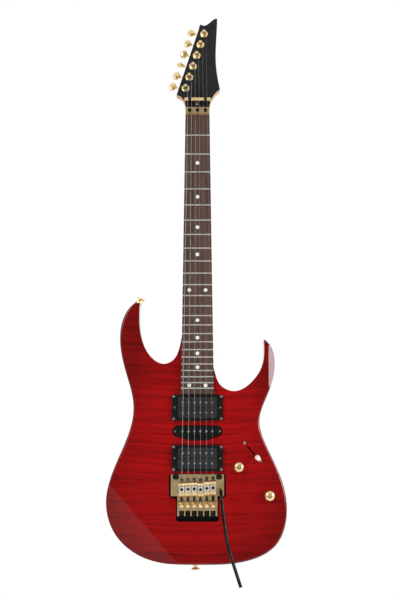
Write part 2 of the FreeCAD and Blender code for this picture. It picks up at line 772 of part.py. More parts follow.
def build_pickups():
    poles = []
    rings = []
    for label, line, ring_top in (("neck_pickup", -size("neck_pickup_line"), 3.0),
                                  ("bridge_pickup", -size("bridge_pickup_line"), 1.6)):
        coils = new_body()
        shell = [(-34.2, line - 18.4), (34.2, line - 18.4), (34.2, line + 18.4), (-34.2, line + 18.4)]
        pad(coils, "XZ_Plane", ring_top - 1.5, ROUTE_END - ring_top - 0.5, hollow(shell, 3))
        seam = [(-40, line - 0.4), (40, line - 0.4), (40, line + 0.4), (-40, line + 0.4)]
        carve(coils, "XZ_Plane", ring_top - 1.5, 3.5, lambda sketch, seam=seam: draw_lines(sketch, seam))
        carve(coils, "XZ_Plane", ring_top - 1.5, 6, holes(pole_rows(line), 1.9))
        node(coils, label)
        for across, up in pole_rows(line):
            poles.append(rod(Vector(across, ring_top - 1.9, up), Vector(across, ring_top + 4.4, up), 1.8))

        long_half, wide_half = size("ring_long") / 2, size("ring_wide") / 2
        frame = new_body()
        pad(frame, "XZ_Plane", ring_top, FRONT - ring_top,
            hollow(rectangle(long_half, line - wide_half, line + wide_half), 3.5))
        window = rectangle(35.1, line - 19.2, line + 19.2)
        carve(frame, "XZ_Plane", ring_top, FRONT - ring_top, hollow(window, 3))
        ends = [(side * 41.0, line + end * 19.3) for side in (-1, 1) for end in (-1, 1)]
        sides = [(side * 39.6, line) for side in (-1, 1)]
        carve(frame, "XZ_Plane", ring_top, FRONT - ring_top, holes(ends + sides, 1.2))
        rings.append(frame)
    node(group(rings), "pickup_rings")

    middle = new_body()
    line = -size("middle_pickup_line")
    pad(middle, "XZ_Plane", 6.5, 2.5, hollow(single_coil_outline(0), 8.2))
    pad(middle, "XZ_Plane", 2.2, ROUTE_END - 3.2, hollow(rectangle(34.6, line - 8, line + 8), 7.9))
    middle_poles = [(across, line) for across in string_offsets(10.35)]
    carve(middle, "XZ_Plane", 2.2, 6, holes(middle_poles, 2.1))
    carve(middle, "XZ_Plane", 6.5, 2.5, holes(MIDDLE_SCREWS, 1.2))
    node(middle, "middle_pickup")
    for across, up in middle_poles:
        poles.append(rod(Vector(across, 1.8, up), Vector(across, 8.1, up), 2.0))
    node(group(poles), "pickup_poles")


def screw(across, up, seat, head_radius, shank_radius, length, outward=-1):
    """A dome-headed screw standing on a surface that faces outward along Y."""
    seat_point = Vector(across, seat, up)
    out = Vector(0, outward, 0)
    head = taper(seat_point, seat_point + out * 1.1, head_radius, head_radius * 0.6)
    shank = rod(seat_point - out * length, seat_point + out * 0.2, shank_radius)
    return fuse([head, shank])


def build_mounting_screws():
    screws = []
    tops = {-1: 3.0, 1: 1.6}
    for across, up in RING_SCREWS:
        top = tops[1] if up < -560 else tops[-1]
        screws.append(screw(across, up, top, 2.3, 1.15, FRONT + 8.5 - top))
    for line, top in ((-size("neck_pickup_line"), 3.0), (-size("bridge_pickup_line"), 1.6)):
        screws += [screw(side * 39.6, line, top, 1.9, 1.15, 4) for side in (-1, 1)]
    screws += [screw(across, line, 6.5, 2.0, 1.15, 25) for across, line in MIDDLE_SCREWS]
    screws += [screw(across, up, FRONT, 2.6, 1.4, 6.2) for across, up in SWITCH_SCREWS]
    for across, up in NECK_SCREWS:
        washer = rod(Vector(across, BACK - 2.9, up), Vector(across, BACK - 1.4, up), 7.0)
        head = rod(Vector(across, BACK - 1.6, up), Vector(across, BACK - 0.2, up), 4.3)
        shank = rod(Vector(across, 13.7, up), Vector(across, BACK - 2, up), 2.5)
        screws.append(fuse([washer, head, shank]))
    for across, up in CONTROL_SCREWS + SPRING_SCREWS:
        head = rod(Vector(across, BACK - 1.0, up), Vector(across, BACK - 0.1, up), 2.3)
        shank = rod(Vector(across, CAVITY_END - 7.5, up), Vector(across, BACK - 0.5, up), 1.1)
        screws.append(fuse([head, shank]))
    node(group(screws), "mounting_screws")


def inset(points, by):
    """The same outline drawn in towards its middle."""
    middle_x = sum(across for across, up in points) / len(points)
    middle_z = sum(up for across, up in points) / len(points)
    smaller = []
    for across, up in points:
        reach = math.hypot(across - middle_x, up - middle_z)
        share = (reach - by) / reach
        smaller.append((middle_x + (across - middle_x) * share, middle_z + (up - middle_z) * share))
    return smaller


def build_covers():
    covers = []
    for outline, screws in ((SPRING_COVER, SPRING_SCREWS), (CONTROL_COVER, CONTROL_SCREWS)):
        cover = new_body()
        pad(cover, "XZ_Plane", CAVITY_END + 0.02, size("cover_thick") - 0.02,
            hollow(inset(outline, 0.5), 5.8))
        carve(cover, "XZ_Plane", CAVITY_END, "Sizes.cover_thick", holes(screws, 1.15))
        carve(cover, "XZ_Plane", BACK - 1.02, 1.02, holes(screws, 2.4))
        covers.append(cover)
    node(group(covers), "back_covers")


# ---- Controls ------------------------------------------------------------------------------------


def build_controls():
    pots = []
    for label, place in (("volume_knob", VOLUME_KNOB), ("tone_knob", TONE_KNOB)):
        can = rod(place + Vector(0, CONTROL_FRONT + 0.1, 0), place + Vector(0, CONTROL_FRONT + 10, 0), 8.5)
        bush = rod(place + Vector(0, 5.0, 0), place + Vector(0, CONTROL_FRONT + 1, 0), 4.7)
        nut = rod(place + Vector(0, 5.4, 0), place + Vector(0, FRONT - 0.05, 0), 6.4)
        bore = rod(place + Vector(0, 0, 0), place + Vector(0, CONTROL_FRONT + 8, 0), 3.05)
        pots.append(cut(fuse([can, bush, nut]), [bore]))

        radius, tall = size("knob_radius"), size("knob_tall")
        low = FRONT - 0.5
        high = low - tall
        profile = [
            (0, high), (4.5, high + 0.5), (7.8, high + 3.0), (8.9, high + 6.0), (9.1, high + 12.2),
            (radius, high + 13.2), (radius, low), (7.2, low), (7.2, 5.0), (0, 5.0),
        ]
        knob = turned(Placement(place, Rotation()), lambda sketch: draw_lines(sketch, profile))
        shaft = rod(place + Vector(0, 4.8, 0), place + Vector(0, CONTROL_FRONT + 7.5, 0), 3.0)
        node(fuse([knob, shaft]), label)
    node(group(pots), "control_pots")

    inward = Vector(0, 1, 0)
    across = SWITCH_ALONG.cross(inward)
    flat = Placement(SWITCH_CENTRE, Rotation(SWITCH_ALONG, inward, across, "XYZ"))
    top_plate = block(Vector(-24, CONTROL_FRONT + 0.05, -6), 48, 1.5, 12, flat)
    walls = [block(Vector(-18, CONTROL_FRONT + 1, side * 5 - 0.6), 36, 28, 1.2, flat) for side in (-1, 1)]
    slot = block(Vector(-14, CONTROL_FRONT - 1, -2), 28, 4, 4, flat)
    switch_bores = []
    for side, up in SWITCH_SCREWS:
        place = Vector(side, CONTROL_FRONT, up)
        switch_bores.append(rod(place - inward * 2, place + inward * 3, 1.5))
    node(cut(fuse([top_plate] + walls), [slot] + switch_bores), "switch_body")

    pivot = SWITCH_CENTRE + Vector(0, SWITCH_PIVOT_DEPTH, 0)
    lean = Rotation(across, size("switch_angle"))
    lever_out = lean.multVec(-inward)
    lever_frame = Placement(pivot, lean.multiply(flat.Rotation))
    blade_end = Vector(-1.8, -41, -0.7)
    blade = block(blade_end, 3.6, 41, 1.4, lever_frame)
    axle = rod(Vector(0, 0, -4.2), Vector(0, 0, 4.2), 2.5, lever_frame)
    node(fuse([blade, axle]), "switch_lever")
    cap = taper(pivot + lever_out * 35.5, pivot + lever_out * 47.5, 4.6, 3.2)
    blade_hole = block(blade_end, 3.6, 13, 1.4, lever_frame)
    node(cut(cap, [blade_hole]), "switch_tip")

    bore_start = Vector(118, JACK_CENTRE.y, JACK_CENTRE.z)
    barrel = rod(bore_start, JACK_CENTRE - Vector(0.4, 0, 0), 6.5)
    collar = rod(JACK_CENTRE - Vector(2.5, 0, 0), JACK_CENTRE - Vector(0.4, 0, 0), 10.4)
    bore = rod(JACK_CENTRE - Vector(30, 0, 0), JACK_CENTRE + Vector(1, 0, 0), "Sizes.jack_bore")
    node(cut(fuse([barrel, collar]), [bore]), "output_jack")


def build_strap_buttons():
    buttons = []
    for foot, out in strap_button_seats():
        base = rod(foot + out * 0.05, foot + out * 1.6, 6.2)
        waist = taper(foot + out * 1.5, foot + out * 6.0, 4.2, 3.0)
        flange = taper(foot + out * 5.8, foot + out * 8.2, 3.2, 7.4)
        rim = rod(foot + out * 8.1, foot + out * 9.6, 7.5)
        dome = taper(foot + out * 9.6, foot + out * 10.4, 7.0, 3.5)
        shank = rod(foot - out * 20, foot + out, 1.7)
        buttons.append(fuse([base, waist, flange, rim, dome, shank]))
    node(group(buttons), "strap_buttons")


# ---- Tremolo ------------------------------------------------------------------------------------

PLATE_TOP = size("plate_top")
PLATE_LOW = PLATE_TOP + size("plate_thick")
TUNER_TILT = math.radians(35)
FINE_OUT = Vector(0, -math.cos(TUNER_TILT), -math.sin(TUNER_TILT))
LOCK_DEPTH = 4.1
TAB_LINE = 640.0
PIVOT_DEPTH = 8.5
PIVOT_LINE = 642.2


def fine_tuner_seat(across):
    """The middle of a fine tuner's lower face."""
    return Vector(across, -4.3, -683.3)


def build_bridge():
    wide = block(Vector(-46, PLATE_TOP, -671.5), 92, "Sizes.plate_thick", 37.3)
    tail = block(Vector(-34.5, PLATE_TOP, -694), 69, "Sizes.plate_thick", 30)
    bar = block(Vector(-34.5, -2, -692.8), 69, 2.8, 12.3)
    lip = block(Vector(-34.5, -4.2, -695.4), 69, 5.0, 2.6)
    fingers = [block(Vector(across - 1.2, -3.4, -704.6), 2.4, 10.4, 10)
               for across in string_offsets(size("bridge_pitch"), STRING_COUNT + 1)]
    cheeks = [block(Vector(side * 33.9 - 0.6, -2.6, -704.6), 1.2, 9.7, 38) for side in (-1, 1)]
    tools = []
    for side in (-1, 1):
        stud = Vector(side * size("stud_spread"), 0, -size("stud_line"))
        tools.append(rod(stud + Vector(0, PLATE_TOP - 2, 0), stud + Vector(0, PLATE_LOW + 2, 0), 5.4))
    tools.append(rod(ARM_FOOT, ARM_FOOT + Vector(0, 14, 0), 4.35))
    for index, across in enumerate(string_offsets(size("bridge_pitch"))):
        seat = fine_tuner_seat(across)
        tools.append(rod(seat - FINE_OUT * 6, seat + FINE_OUT, 1.6))
        tab = Vector(across, 0, -TAB_LINE - SADDLE_SETBACK[index])
        tools.append(rod(tab, tab + Vector(0, 11, 0), 1.35))
    knives = []
    knife_wide, knife_round = 3.6, 0.28
    for side in (-1, 1):
        middle = side * size("stud_spread")
        edge = Vector(middle - knife_wide / 2, PIVOT_DEPTH, -PIVOT_LINE)
        knives.append(rod(edge, edge + Vector(knife_wide, 0, 0), knife_round))
        knives.append(block(edge - Vector(0, knife_round, 2.6), knife_wide, 2 * knife_round, 2.6))
    plate = cut(fuse([wide, tail, bar, lip] + fingers + cheeks), tools)
    node(fuse([plate] + knives), "tremolo_plate")

    half = size("block_half")
    node(block(Vector(-half, PLATE_LOW + 0.02, -662), "2 * Sizes.block_half", 34, 16), "sustain_block")

    socket = fuse([
        rod(ARM_FOOT + Vector(0, -4.5, 0), ARM_FOOT + Vector(0, 15, 0), 4.3),
        rod(ARM_FOOT + Vector(0, 5.2, 0), ARM_FOOT + Vector(0, PLATE_TOP - 0.02, 0), 5.6),
    ])
    bore = rod(ARM_FOOT + Vector(0, -6, 0), ARM_FOOT + Vector(0, 5, 0),
               "Sizes.arm_radius + Sizes.running_gap")
    node(cut(socket, [bore]), "arm_socket")

    saddles, clamps, screws = [], [], []
    for index, across in enumerate(string_offsets(size("bridge_pitch"))):
        back = SADDLE_SETBACK[index]
        crown = FRONT - size("bridge_height")
        side_view = [
            (PLATE_TOP - 0.02, 636.6), (4.0, 636.6), (4.0, 642.8), (-1.2, 643.6), (crown, 645),
            (crown, 646.6), (crown + 0.9, 649.5), (-1.6, 651.2), (3.2, 651.2), (3.2, 662),
            (-1.4, 662), (-2.3, 664), (-1.9, 667.5), (0.4, 670), (PLATE_TOP - 0.02, 670.5),
        ]
        saddle = new_body(Placement(Vector(0, 0, -back), Rotation()))
        pad(saddle, "YZ_Plane", across - 5.15, 10.3,
            lambda sketch, view=side_view: draw_lines(sketch, [(deep, -down) for deep, down in view]))
        lock_line = Vector(across, LOCK_DEPTH, -back)
        tab_line = Vector(across, 0, -TAB_LINE - back)
        lock_bore = rod(lock_line - Vector(0, 0, 675), lock_line - Vector(0, 0, 665), 1.6)
        tab_bore = rod(tab_line, tab_line + Vector(0, 11, 0), 1.35)
        saddles.append(cut(saddle, [lock_bore, tab_bore]))

        clamp = block(Vector(across - 4.5, -3.2, -661.8 - back), 9, 6.3, 10.4)
        clamp_line = Vector(across, 0, -656.6 - back)
        clamp_bore = rod(clamp_line - Vector(0, 4, 0), clamp_line + Vector(0, 0.5, 0), 2.6)
        clamps.append(cut(clamp, [clamp_bore]))

        tab_head = rod(tab_line + Vector(0, 1.4, 0), tab_line + Vector(0, 3.98, 0), 2.7)
        tab_shank = rod(tab_line + Vector(0, 3, 0), tab_line + Vector(0, PLATE_LOW - 0.1, 0), 1.3)
        screws.append(fuse([tab_head, tab_shank]))
        lock_tip = rod(lock_line - Vector(0, 0, 671.5), lock_line - Vector(0, 0, 665.5), 1.55)
        lock_shank = rod(Vector(across, LOCK_DEPTH, -696), lock_line - Vector(0, 0, 671), 2.2)
        lock_head = rod(Vector(across, LOCK_DEPTH, -704), Vector(across, LOCK_DEPTH, -696), 2.75)
        screws.append(fuse([lock_tip, lock_shank, lock_head]))
    node(group(saddles), "saddles")
    node(group(clamps), "string_clamp_blocks")
    node(group(screws), "saddle_screws")

    for index, across in enumerate(string_offsets(size("bridge_pitch")), start=1):
        seat = fine_tuner_seat(across)
        knob = rod(seat, seat + FINE_OUT * 8, 3.3)
        shank = rod(seat - FINE_OUT * 5.2, seat + FINE_OUT, 1.5)
        node(fuse([knob, shank]), f"fine_tuner_{index}")


def bent_bar(corners, radius):
    """A round bar along straight runs joined by arcs that are as large as they can be."""
    edges = []
    last = corners[0]
    for index in range(1, len(corners) - 1):
        corner = corners[index]
        back = corners[index - 1] - corner
        ahead = corners[index + 1] - corner
        reach = 0.45 * min(back.Length, ahead.Length)
        start = corner + back.normalize() * reach
        end = corner + ahead.normalize() * reach
        turn = math.pi - back.getAngle(ahead)
        bend = reach / math.tan(turn / 2)
        inward = (back + ahead).normalize()
        middle = corner + inward * (bend / math.cos(turn / 2) - bend)
        edges.append(Part.LineSegment(last, start).toShape())
        edges.append(Part.Arc(start, middle, end).toShape())
        last = end
    edges.append(Part.LineSegment(last, corners[-1]).toShape())
    path = Part.Wire(edges)
    circle = Part.Circle(corners[0], corners[1] - corners[0], radius)
    return path.makePipeShell([Part.Wire([circle.toShape()])], True, False)


def build_arm():
    corners = [
        ARM_FOOT + Vector(0, 3.9, 0), ARM_FOOT + Vector(0, -33, 0),
        Vector(49.0, -38, -746), Vector(72.7, -38.5, -819.0),
    ]
    bar = bent_bar(corners, size("arm_radius"))
    node(shaped(bar), "tremolo_arm")


def build_studs_and_springs():
    studs = []
    for side in (-1, 1):
        foot = Vector(side * size("stud_spread"), 0, -size("stud_line"))
        sleeve = rod(foot + Vector(0, RECESS_END - 0.8, 0), foot + Vector(0, 30.5, 0), 5.0)
        neck = rod(foot + Vector(0, 5, 0), foot + Vector(0, RECESS_END, 0), 3.4)
        head = rod(foot + Vector(0, 2.4, 0), foot + Vector(0, 5.8, 0), 4.5)
        hex_socket = doc.addObject("Part::Prism", "Socket")
        assign(hex_socket, Polygon=6, Circumradius=2.2, Height=3)
        hex_socket.Placement = Placement(foot + Vector(0, 4.4, 0), Rotation(Vector(1, 0, 0), 90))
        studs.append(cut(fuse([sleeve, neck, head]), [hex_socket]))
    node(group(studs), "bridge_studs")

    claw_parts = [block(Vector(-26, 35, -566), 52, 9.5, 2.4)]
    for side in (-1, 1):
        claw_parts.append(rod(Vector(side * 14, 39.5, -566), Vector(side * 14, 39.5, -522), 1.75))
        claw_parts.append(rod(Vector(side * 14, 39.5, -569), Vector(side * 14, 39.5, -565.5), 3.6))
    node(fuse(claw_parts), "spring_claw")

    springs = []
    for across in (-22, 0, 22):
        line = Vector(across, 40, 0)
        coil = rod(line + Vector(0, 0, -637), line + Vector(0, 0, -572), 4.4)
        hollow_core = rod(line + Vector(0, 0, -639), line + Vector(0, 0, -570), 3.1)
        tube = cut(coil, [hollow_core])
        ends = []
        for low, high in ((-645.9, -634), (-575, -566.1)):
            ends.append(rod(line + Vector(0, -3.75, low), line + Vector(0, -3.75, high), 0.7))
        springs.append(fuse([tube] + ends))
    node(group(springs), "tremolo_springs")


build_body()
build_neck()
build_fretboard()
build_nut()
build_strings()
build_tuners()
build_pickups()
build_mounting_screws()
build_covers()
build_controls()
build_strap_buttons()
build_bridge()
build_arm()
build_studs_and_springs()

doc.recompute()
for feature in doc.Objects:
    if {"Invalid", "Error"} & set(feature.State):
        raise RuntimeError(f"{feature.Name} ({feature.Label}) failed: {feature.State}")
for feature in nodes:
    if feature.Shape.isNull() or not feature.Shape.isValid():
        raise RuntimeError(f"{feature.Label} has no sound shape")

os.makedirs("parts", exist_ok=True)
for feature in nodes:
    feature.Shape.exportStep(f"parts/{feature.Label}.step")
print(len(nodes), "pieces")
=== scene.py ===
import math

import bmesh
import bpy
from mathutils import Matrix, Vector


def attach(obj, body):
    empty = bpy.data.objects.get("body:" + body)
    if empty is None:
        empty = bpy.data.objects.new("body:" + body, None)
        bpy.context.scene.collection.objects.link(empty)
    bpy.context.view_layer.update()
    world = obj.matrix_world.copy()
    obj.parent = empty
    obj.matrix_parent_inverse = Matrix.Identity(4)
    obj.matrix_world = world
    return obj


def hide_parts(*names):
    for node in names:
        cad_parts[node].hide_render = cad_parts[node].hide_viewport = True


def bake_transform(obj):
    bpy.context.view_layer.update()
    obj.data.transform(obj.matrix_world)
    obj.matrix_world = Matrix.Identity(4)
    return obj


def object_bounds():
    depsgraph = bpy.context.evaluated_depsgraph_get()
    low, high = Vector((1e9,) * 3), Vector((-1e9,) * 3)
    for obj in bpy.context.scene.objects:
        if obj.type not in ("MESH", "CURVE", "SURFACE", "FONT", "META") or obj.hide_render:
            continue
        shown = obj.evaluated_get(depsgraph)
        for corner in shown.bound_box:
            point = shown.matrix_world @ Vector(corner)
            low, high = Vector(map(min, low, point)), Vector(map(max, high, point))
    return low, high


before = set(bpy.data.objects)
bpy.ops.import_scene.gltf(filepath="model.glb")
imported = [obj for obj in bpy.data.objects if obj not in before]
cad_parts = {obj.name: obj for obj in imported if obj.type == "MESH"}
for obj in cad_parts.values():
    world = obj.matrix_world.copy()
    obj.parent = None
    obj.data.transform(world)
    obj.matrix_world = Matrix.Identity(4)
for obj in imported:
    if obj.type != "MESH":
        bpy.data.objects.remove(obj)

# Electric guitar in its CAD frame: X to the treble side, Y from front to back, Z up the neck.
# Lengths in the tables below are millimetres; everything handed to Blender is in metres.

CAD_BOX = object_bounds()
MM = 0.001
STRING_RADII = (0.58, 0.46, 0.34, 0.24, 0.18, 0.14)
NUT_PITCH = 7.0
BRIDGE_PITCH = 10.8
SADDLE_SETBACK = (3.1, 2.5, 1.9, 3.1, 0.9, 0.0)
HEAD = Matrix.Translation((0, 5.5, 15)) @ Matrix.Rotation(math.radians(76), 4, "X")


def mm(*place):
    """A place given in millimetres, in metres."""
    return Vector(place) * MM


def string_place(index, pitch):
    """How far a string lies across the centre line; the bass string is number 0."""
    return (index - 2.5) * pitch


# ---- Shader building -------------------------------------------------------------------------


def add(tree, kind, inputs=None, **settings):
    """Adds a shader node with the given settings, and sets or links its sockets."""
    made = tree.nodes.new("ShaderNode" + kind)
    for name, value in settings.items():
        setattr(made, name, value)
    for name, value in (inputs or {}).items():
        if isinstance(value, bpy.types.NodeSocket):
            tree.links.new(value, made.inputs[name])
        else:
            made.inputs[name].default_value = value
    return made


def math_node(tree, operation, first, second=0.0, third=0.0):
    """One step of arithmetic on numbers or sockets."""
    made = add(tree, "Math", {0: first, 1: second, 2: third}, operation=operation)
    return made.outputs[0]


def ramp(tree, factor, stops):
    """A colour ramp through (position, colour) stops."""
    made = add(tree, "ValToRGB", {"Fac": factor})
    band = made.color_ramp
    for index, (position, colour) in enumerate(stops):
        stop = band.elements[index] if index < 2 else band.elements.new(position)
        stop.position = position
        stop.color = (*colour, 1)
    return made.outputs["Color"]


def grey_ramp(tree, factor, stops):
    """A ramp of greys, which also serves as a curve for numbers."""
    return ramp(tree, factor, [(position, (level,) * 3) for position, level in stops])


def blend_colours(tree, kind, factor, first, second):
    """Mixes two colours in the given way: MIX, MULTIPLY, OVERLAY and so on."""
    made = tree.nodes.new("ShaderNodeMix")
    made.data_type = "RGBA"
    made.blend_type = kind
    for socket, value in ((made.inputs[0], factor), (made.inputs[6], first), (made.inputs[7], second)):
        if isinstance(value, bpy.types.NodeSocket):
            tree.links.new(value, socket)
        else:
            socket.default_value = value if not isinstance(value, tuple) else (*value, 1)
    return made.outputs[2]


def object_place(tree):
    """The shaded point in the object's own coordinates."""
    return add(tree, "TexCoord").outputs["Object"]


def stretched(tree, place, scale):
    """A place with each axis scaled by its own amount."""
    return add(tree, "Mapping", {"Vector": place, "Scale": scale}).outputs[0]


def noise(tree, place, scale, detail=4.0, roughness=0.55, distortion=0.0):
    """Fractal noise about 0.5."""
    made = add(tree, "TexNoise", {"Vector": place, "Scale": scale, "Detail": detail,
                                  "Roughness": roughness, "Distortion": distortion})
    return made.outputs[0]


def bump(tree, height, strength, distance):
    """A normal tilted by the slope of a height."""
    made = add(tree, "Bump", {"Height": height, "Strength": strength, "Distance": distance})
    return made.outputs[0]


def material(name):
    """A new material: its tree and its Principled shader."""
    made = bpy.data.materials.new(name)
    made.use_nodes = True
    tree = made.node_tree
    return made, tree, tree.nodes["Principled BSDF"]


def metal(name, dark, bright, smooth, rough):
    """Plated or bare metal: mottled tone, fine scratches and uneven polish."""
    made, tree, shader = material(name)
    place = object_place(tree)
    mottle = noise(tree, place, 90, 5)
    tree.links.new(ramp(tree, mottle, [(0.35, dark), (0.62, bright)]), shader.inputs["Base Color"])
    shader.inputs["Metallic"].default_value = 1.0
    scratch = noise(tree, stretched(tree, place, (1, 1, 0.08)), 2600, 2)
    polish = math_node(tree, "MULTIPLY_ADD", noise(tree, place, 320, 3), rough - smooth, smooth)
    tree.links.new(polish, shader.inputs["Roughness"])
    tree.links.new(bump(tree, scratch, 0.05, 0.00005), shader.inputs["Normal"])
    return made


def gloss(shader, weight, roughness):
    """Clear lacquer over the base colour."""
    shader.inputs["Coat Weight"].default_value = weight
    shader.inputs["Coat Roughness"].default_value = roughness
    shader.inputs["Coat IOR"].default_value = 1.5


# ---- Materials -----------------------------------------------------------------------------------


def unit_range(tree, value):
    """Maps -1 to 1 onto 0 to 1."""
    return math_node(tree, "MULTIPLY_ADD", value, 0.5, 0.5)


def flamed_red():
    """Red lacquer over a bookmatched flamed maple face, darker towards its rim partly by a burst and
    partly by painted shade, on a darker straight-grained back whose colour also covers the sides and
    rounded edges as painted shade.
    """
    made, tree, shader = material("red_flame")
    place = object_place(tree)
    parts = add(tree, "SeparateXYZ", {0: place})
    across = math_node(tree, "ABSOLUTE", parts.outputs[0])
    flat = add(tree, "CombineXYZ", {0: across, 2: parts.outputs[2]}).outputs[0]
    waver = noise(tree, stretched(tree, flat, (1.6, 1, 1)), 16, 3)
    drop = math_node(tree, "MULTIPLY", across, 0.05)
    height = math_node(tree, "ADD", math_node(tree, "MULTIPLY", waver, 0.006), parts.outputs[2])
    height = math_node(tree, "SUBTRACT", height, drop)
    mirrored = add(tree, "CombineXYZ", {0: across, 2: height}).outputs[0]
    broad = noise(tree, stretched(tree, mirrored, (5, 1, 190)), 1.0, 2, 0.5)
    narrow = noise(tree, stretched(tree, mirrored, (11, 1, 480)), 1.0, 3, 0.6)
    stripes = math_node(tree, "MULTIPLY", math_node(tree, "ADD", broad, narrow), 0.5)
    flame = ramp(tree, stripes, [(0.34, (0.175, 0.0010, 0.0012)), (0.44, (0.250, 0.0014, 0.0018)),
                                 (0.54, (0.325, 0.0022, 0.0026)), (0.68, (0.405, 0.0040, 0.0044))])
    grain = noise(tree, stretched(tree, place, (900, 900, 22)), 1.0, 3)
    fibres = grey_ramp(tree, grain, [(0.3, 0.66), (0.7, 1.0)])
    face = blend_colours(tree, "MULTIPLY", 0.35, flame, fibres)

    # The face darkens towards its rim by distance from the body's middle: partly the finish's own burst,
    # partly painted shade of the edges.
    from_waist = math_node(tree, "ABSOLUTE", math_node(tree, "ADD", parts.outputs[2], 0.49))
    half_width = math_node(tree, "ADD", math_node(tree, "MULTIPLY", from_waist, 0.22), 0.138)
    reach_x = math_node(tree, "POWER", math_node(tree, "DIVIDE", across, half_width), 2.0)
    from_middle = math_node(tree, "ABSOLUTE", math_node(tree, "ADD", parts.outputs[2], 0.585))
    reach_z = math_node(tree, "POWER", math_node(tree, "DIVIDE", from_middle, 0.225), 2.0)
    outward = math_node(tree, "ADD", reach_x, reach_z)
    burst_and_edge_shade = grey_ramp(tree, outward, [(0.15, 1.0), (0.6, 0.80), (1.0, 0.50)])
    face = blend_colours(tree, "MULTIPLY", 1.0, face, burst_and_edge_shade)

    long_grain = noise(tree, stretched(tree, place, (420, 420, 9)), 1.0, 5, 0.65)
    back = ramp(tree, long_grain, [(0.3, (0.035, 0.0022, 0.002)), (0.55, (0.085, 0.005, 0.0042)),
                                   (0.75, (0.13, 0.009, 0.007))])
    # The back's darker wood colour, chosen by the surface normal, which also covers the sides and
    # rounded edges as painted shade.
    facing = add(tree, "SeparateXYZ", {0: add(tree, "NewGeometry").outputs["Normal"]}).outputs[1]
    back_and_side_shade = grey_ramp(tree, unit_range(tree, facing), [(0.06, 0.0), (0.40, 1.0)])
    tree.links.new(blend_colours(tree, "MIX", back_and_side_shade, face, back), shader.inputs["Base Color"])
    shader.inputs["Roughness"].default_value = 0.45
    shader.inputs["Specular IOR Level"].default_value = 0.05
    tree.links.new(bump(tree, grain, 0.04, 0.0001), shader.inputs["Normal"])
    gloss(shader, 1.0, 0.04)
    to_edge = grey_ramp(tree, unit_range(tree, facing), [(0.01, 0.15), (0.05, 1.0)])
    tree.links.new(to_edge, shader.inputs["Coat Weight"])
    return made


def neck_maple():
    """Satin maple with fine long grain and small flecks."""
    made, tree, shader = material("satin_maple")
    place = object_place(tree)
    grain = noise(tree, stretched(tree, place, (260, 260, 6)), 1.0, 5, 0.6)
    flecks = noise(tree, stretched(tree, place, (1500, 1500, 130)), 1.0, 2)
    wood = ramp(tree, grain, [(0.3, (0.46, 0.24, 0.10)), (0.5, (0.60, 0.36, 0.18)),
                              (0.7, (0.68, 0.44, 0.25))])
    flecked = grey_ramp(tree, flecks, [(0.32, 0.7), (0.5, 1.0)])
    wood = blend_colours(tree, "MULTIPLY", 0.5, wood, flecked)
    tree.links.new(wood, shader.inputs["Base Color"])
    tree.links.new(grey_ramp(tree, grain, [(0.3, 0.42), (0.7, 0.34)]), shader.inputs["Roughness"])
    tree.links.new(bump(tree, flecks, 0.08, 0.0002), shader.inputs["Normal"])
    gloss(shader, 0.25, 0.2)
    return made


def black_lacquer():
    """Deep gloss black with a breath of the grain beneath."""
    made, tree, shader = material("black_lacquer")
    place = object_place(tree)
    grain = noise(tree, stretched(tree, place, (500, 500, 20)), 1.0, 4)
    tree.links.new(ramp(tree, grain, [(0.3, (0.006, 0.006, 0.007)), (0.7, (0.016, 0.015, 0.016))]),
                   shader.inputs["Base Color"])
    shader.inputs["Roughness"].default_value = 0.35
    shader.inputs["Specular IOR Level"].default_value = 0.12
    tree.links.new(bump(tree, noise(tree, place, 35, 2), 0.04, 0.0006), shader.inputs["Normal"])
    gloss(shader, 0.16, 0.08)
    return made


def rosewood():
    """Dark brown board with long pale and near-black streaks and open pores."""
    made, tree, shader = material("rosewood")
    place = object_place(tree)
    streak = noise(tree, stretched(tree, place, (210, 210, 5)), 1.0, 6, 0.62, 0.4)
    pores = noise(tree, stretched(tree, place, (2400, 2400, 90)), 1.0, 2)
    wood = ramp(tree, streak, [(0.28, (0.020, 0.008, 0.005)), (0.48, (0.060, 0.024, 0.013)),
                               (0.62, (0.105, 0.042, 0.022)), (0.78, (0.15, 0.070, 0.040))])
    open_pores = grey_ramp(tree, pores, [(0.36, 0.35), (0.46, 1.0)])
    wood = blend_colours(tree, "MULTIPLY", 0.8, wood, open_pores)
    tree.links.new(wood, shader.inputs["Base Color"])
    tree.links.new(grey_ramp(tree, streak, [(0.3, 0.5), (0.7, 0.62)]), shader.inputs["Roughness"])
    tree.links.new(bump(tree, pores, 0.25, 0.0002), shader.inputs["Normal"])
    return made


def pearl():
    """White shell with soft cloudy bands."""
    made, tree, shader = material("pearl")
    place = object_place(tree)
    cloud = noise(tree, place, 240, 3, 0.5, 2.5)
    tree.links.new(ramp(tree, cloud, [(0.3, (0.62, 0.66, 0.64)), (0.5, (0.86, 0.87, 0.84)),
                                      (0.7, (0.97, 0.93, 0.92))]), shader.inputs["Base Color"])
    tree.links.new(grey_ramp(tree, cloud, [(0.3, 0.16), (0.7, 0.26)]), shader.inputs["Roughness"])
    gloss(shader, 0.6, 0.05)
    return made


def plastic(name, dark, light, low, high, shine=0.5):
    """Moulded plastic: slight tone drift and a fine texture."""
    made, tree, shader = material(name)
    place = object_place(tree)
    drift = noise(tree, place, 70, 3)
    fine = noise(tree, place, 900, 3)
    shader.inputs["Specular IOR Level"].default_value = shine
    tree.links.new(ramp(tree, drift, [(0.3, dark), (0.7, light)]), shader.inputs["Base Color"])
    tree.links.new(grey_ramp(tree, fine, [(0.3, low), (0.7, high)]), shader.inputs["Roughness"])
    tree.links.new(bump(tree, fine, 0.06, 0.0001), shader.inputs["Normal"])
    return made


